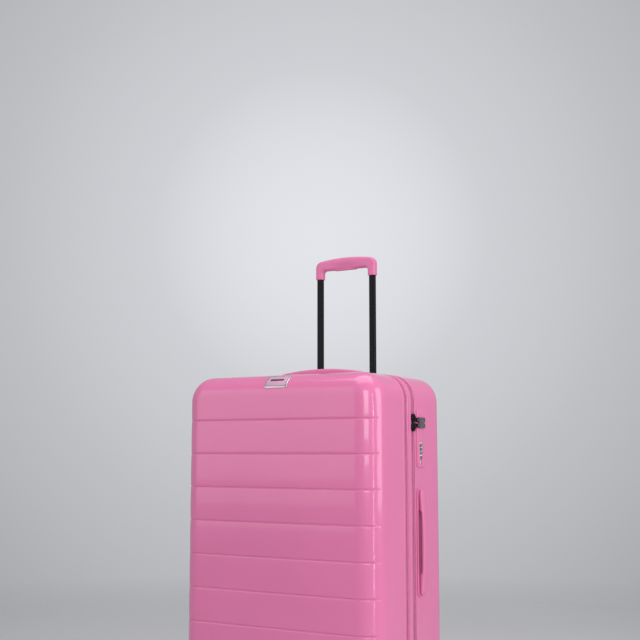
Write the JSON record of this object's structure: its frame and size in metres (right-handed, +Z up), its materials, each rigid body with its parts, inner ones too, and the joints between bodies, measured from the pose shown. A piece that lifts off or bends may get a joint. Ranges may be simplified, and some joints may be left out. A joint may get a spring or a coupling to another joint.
{
  "type": "hard shell suitcase",
  "caption": "Hard shell upright suitcase with ribbed panels, two zips, pull-out trolley handle, carry handles, combination lock and swivelling twin wheels.",
  "frame": {"origin": "on the floor under the middle of the body, between the four wheels", "axes": "+X to the lock and side handle, -Y to the front panel, +Y to the trolley side, +Z up"},
  "size_m": [0.5011, 0.33, 1.064],
  "materials": {
    "shell_pink": "semi-gloss moulded polycarbonate",
    "handle_pink": "satin moulded plastic",
    "zip_pink": "woven zip tape with moulded coil teeth",
    "lining_cloth": "woven polyester lining",
    "strap_web": "ribbed webbing",
    "black_plastic": "fine moulded grain",
    "black_metal": "satin black anodised",
    "grey_metal": "cast zinc pull",
    "silver_trim": "bright plated",
    "screw_steel": "zinc plated",
    "tube_metal": "drawn",
    "dial_plastic": "moulded",
    "wheel_rubber": "moulded tread"
  },
  "bodies": {
    "rear_case": {"rear_shell": "shell_pink", "rear_zip": "zip_pink", "rear_lining": "lining_cloth", "cross_straps": "strap_web", "strap_buckle": "black_plastic", "lock_housing": "shell_pink", "trolley_bezel": "black_plastic", "trolley_outer_tubes": "tube_metal", "trolley_guides": "black_plastic", "trolley_foot": "black_plastic", "top_handle_base": "handle_pink", "side_handle_base": "handle_pink", "rear_screws": "screw_steel", "hinge_tape": "lining_cloth", "caster_rl_housing": "black_plastic", "caster_rr_housing": "black_plastic"},
    "front_frame": {"expander_band": "shell_pink", "band_zips": "zip_pink", "expander_gusset": "lining_cloth"},
    "front_case": {"front_shell": "shell_pink", "front_zip": "zip_pink", "front_lining": "lining_cloth", "front_pocket": "lining_cloth", "badge_frame": "silver_trim", "badge_plate": "shell_pink", "front_screws": "screw_steel", "caster_fl_housing": "black_plastic", "caster_fr_housing": "black_plastic"},
    "expander_slider": {"expander_slider": "black_metal"},
    "trolley": {"trolley_inner_tubes": "black_metal", "trolley_grip": "handle_pink"},
    "trolley_button": {"trolley_button": "black_plastic", "trolley_push_rods": "screw_steel"},
    "top_handle": {"top_handle": "handle_pink"},
    "side_handle": {"side_handle": "handle_pink"},
    "zip_slider_upper": {"zip_slider_upper": "black_metal"},
    "zip_slider_lower": {"zip_slider_lower": "black_metal"},
    "pull_tab_upper": {"pull_tab_upper": "grey_metal"},
    "pull_tab_lower": {"pull_tab_lower": "grey_metal"},
    "lock_dial_1": {"lock_dial_1": "dial_plastic"},
    "lock_dial_2": {"lock_dial_2": "dial_plastic"},
    "lock_dial_3": {"lock_dial_3": "dial_plastic"},
    "lock_button": {"lock_button": "grey_metal"},
    "lock_key_plug": {"lock_key_plug": "silver_trim"},
    "caster_fl_swivel": {"caster_fl_fork": "black_plastic", "caster_fl_axle": "screw_steel"},
    "caster_fl_wheel_a": {"caster_fl_wheel_a": "wheel_rubber"},
    "caster_fl_wheel_b": {"caster_fl_wheel_b": "wheel_rubber"},
    "caster_fr_swivel": {"caster_fr_fork": "black_plastic", "caster_fr_axle": "screw_steel"},
    "caster_fr_wheel_a": {"caster_fr_wheel_a": "wheel_rubber"},
    "caster_fr_wheel_b": {"caster_fr_wheel_b": "wheel_rubber"},
    "caster_rl_swivel": {"caster_rl_fork": "black_plastic", "caster_rl_axle": "screw_steel"},
    "caster_rl_wheel_a": {"caster_rl_wheel_a": "wheel_rubber"},
    "caster_rl_wheel_b": {"caster_rl_wheel_b": "wheel_rubber"},
    "caster_rr_swivel": {"caster_rr_fork": "black_plastic", "caster_rr_axle": "screw_steel"},
    "caster_rr_wheel_a": {"caster_rr_wheel_a": "wheel_rubber"},
    "caster_rr_wheel_b": {"caster_rr_wheel_b": "wheel_rubber"}
  },
  "joints": [
    {"name": "lid_hinge", "type": "hinge", "parent": "rear_case", "child": "front_frame", "pos_m": [-0.2465, 0.004, 0.4135], "axis": [0, 0, -1], "range_deg": [0, 180]},
    {"name": "front_expansion", "type": "slide", "parent": "front_frame", "child": "front_case", "axis": [0, -1, 0], "range_m": [0, 0.03]},
    {"name": "expander_slider_slide", "type": "slide", "parent": "front_frame", "child": "expander_slider", "axis": [0, 0, 1], "range_m": [0, 0.3]},
    {"name": "trolley_slide", "type": "slide", "parent": "rear_case", "child": "trolley", "axis": [0, 0, 1], "range_m": [-0.286, 0]},
    {"name": "trolley_button_press", "type": "slide", "parent": "trolley", "child": "trolley_button", "axis": [0, 0, 1], "range_m": [0, 0.004], "stiffness_N_per_m": 400, "springref_m": -0.003},
    {"name": "top_handle_lift", "type": "slide", "parent": "rear_case", "child": "top_handle", "axis": [0, 0, 1], "range_m": [0, 0.006]},
    {"name": "side_handle_lift", "type": "slide", "parent": "rear_case", "child": "side_handle", "axis": [1, 0, 0], "range_m": [0, 0.006]},
    {"name": "zip_upper_slide", "type": "slide", "parent": "rear_case", "child": "zip_slider_upper", "axis": [0, 0, 1], "range_m": [0, 0.03]},
    {"name": "zip_lower_slide", "type": "slide", "parent": "rear_case", "child": "zip_slider_lower", "axis": [0, 0, 1], "range_m": [-0.09, 0]},
    {"name": "tab_upper_swing", "type": "hinge", "parent": "zip_slider_upper", "child": "pull_tab_upper", "pos_m": [0.2472, 0.018, 0.6699], "axis": [0, 0, -1], "range_deg": [0, 120]},
    {"name": "tab_lower_swing", "type": "hinge", "parent": "zip_slider_lower", "child": "pull_tab_lower", "pos_m": [0.2472, 0.018, 0.6581], "axis": [0, 0, -1], "range_deg": [0, 120]},
    {"name": "dial_1_turn", "type": "hinge", "parent": "rear_case", "child": "lock_dial_1", "pos_m": [0.2365, 0.038, 0.6162], "axis": [0, 0, 1], "continuous": true},
    {"name": "dial_2_turn", "type": "hinge", "parent": "rear_case", "child": "lock_dial_2", "pos_m": [0.2365, 0.038, 0.608], "axis": [0, 0, 1], "continuous": true},
    {"name": "dial_3_turn", "type": "hinge", "parent": "rear_case", "child": "lock_dial_3", "pos_m": [0.2365, 0.038, 0.5998], "axis": [0, 0, 1], "continuous": true},
    {"name": "lock_button_press", "type": "slide", "parent": "rear_case", "child": "lock_button", "axis": [-1, 0, 0], "range_m": [0, 0.002], "stiffness_N_per_m": 300, "springref_m": -0.002},
    {"name": "key_turn", "type": "hinge", "parent": "rear_case", "child": "lock_key_plug", "pos_m": [0.242, 0.038, 0.579], "axis": [1, 0, 0], "range_deg": [0, 90]},
    {"name": "caster_fl_swivel", "type": "hinge", "parent": "front_case", "child": "caster_fl_swivel", "pos_m": [-0.18, -0.1, 0.05], "axis": [0, 0, 1], "continuous": true},
    {"name": "caster_fl_roll_a", "type": "hinge", "parent": "caster_fl_swivel", "child": "caster_fl_wheel_a", "pos_m": [-0.1886, -0.088, 0.022], "axis": [1, 0, 0], "continuous": true},
    {"name": "caster_fl_roll_b", "type": "hinge", "parent": "caster_fl_swivel", "child": "caster_fl_wheel_b", "pos_m": [-0.1714, -0.088, 0.022], "axis": [1, 0, 0], "continuous": true},
    {"name": "caster_fr_swivel", "type": "hinge", "parent": "front_case", "child": "caster_fr_swivel", "pos_m": [0.18, -0.1, 0.05], "axis": [0, 0, 1], "continuous": true},
    {"name": "caster_fr_roll_a", "type": "hinge", "parent": "caster_fr_swivel", "child": "caster_fr_wheel_a", "pos_m": [0.1714, -0.088, 0.022], "axis": [1, 0, 0], "continuous": true},
    {"name": "caster_fr_roll_b", "type": "hinge", "parent": "caster_fr_swivel", "child": "caster_fr_wheel_b", "pos_m": [0.1886, -0.088, 0.022], "axis": [1, 0, 0], "continuous": true},
    {"name": "caster_rl_swivel", "type": "hinge", "parent": "rear_case", "child": "caster_rl_swivel", "pos_m": [-0.18, 0.1, 0.05], "axis": [0, 0, 1], "continuous": true},
    {"name": "caster_rl_roll_a", "type": "hinge", "parent": "caster_rl_swivel", "child": "caster_rl_wheel_a", "pos_m": [-0.1886, 0.112, 0.022], "axis": [1, 0, 0], "continuous": true},
    {"name": "caster_rl_roll_b", "type": "hinge", "parent": "caster_rl_swivel", "child": "caster_rl_wheel_b", "pos_m": [-0.1714, 0.112, 0.022], "axis": [1, 0, 0], "continuous": true},
    {"name": "caster_rr_swivel", "type": "hinge", "parent": "rear_case", "child": "caster_rr_swivel", "pos_m": [0.18, 0.1, 0.05], "axis": [0, 0, 1], "continuous": true},
    {"name": "caster_rr_roll_a", "type": "hinge", "parent": "caster_rr_swivel", "child": "caster_rr_wheel_a", "pos_m": [0.1714, 0.112, 0.022], "axis": [1, 0, 0], "continuous": true},
    {"name": "caster_rr_roll_b", "type": "hinge", "parent": "caster_rr_swivel", "child": "caster_rr_wheel_b", "pos_m": [0.1886, 0.112, 0.022], "axis": [1, 0, 0], "continuous": true}
  ]
}
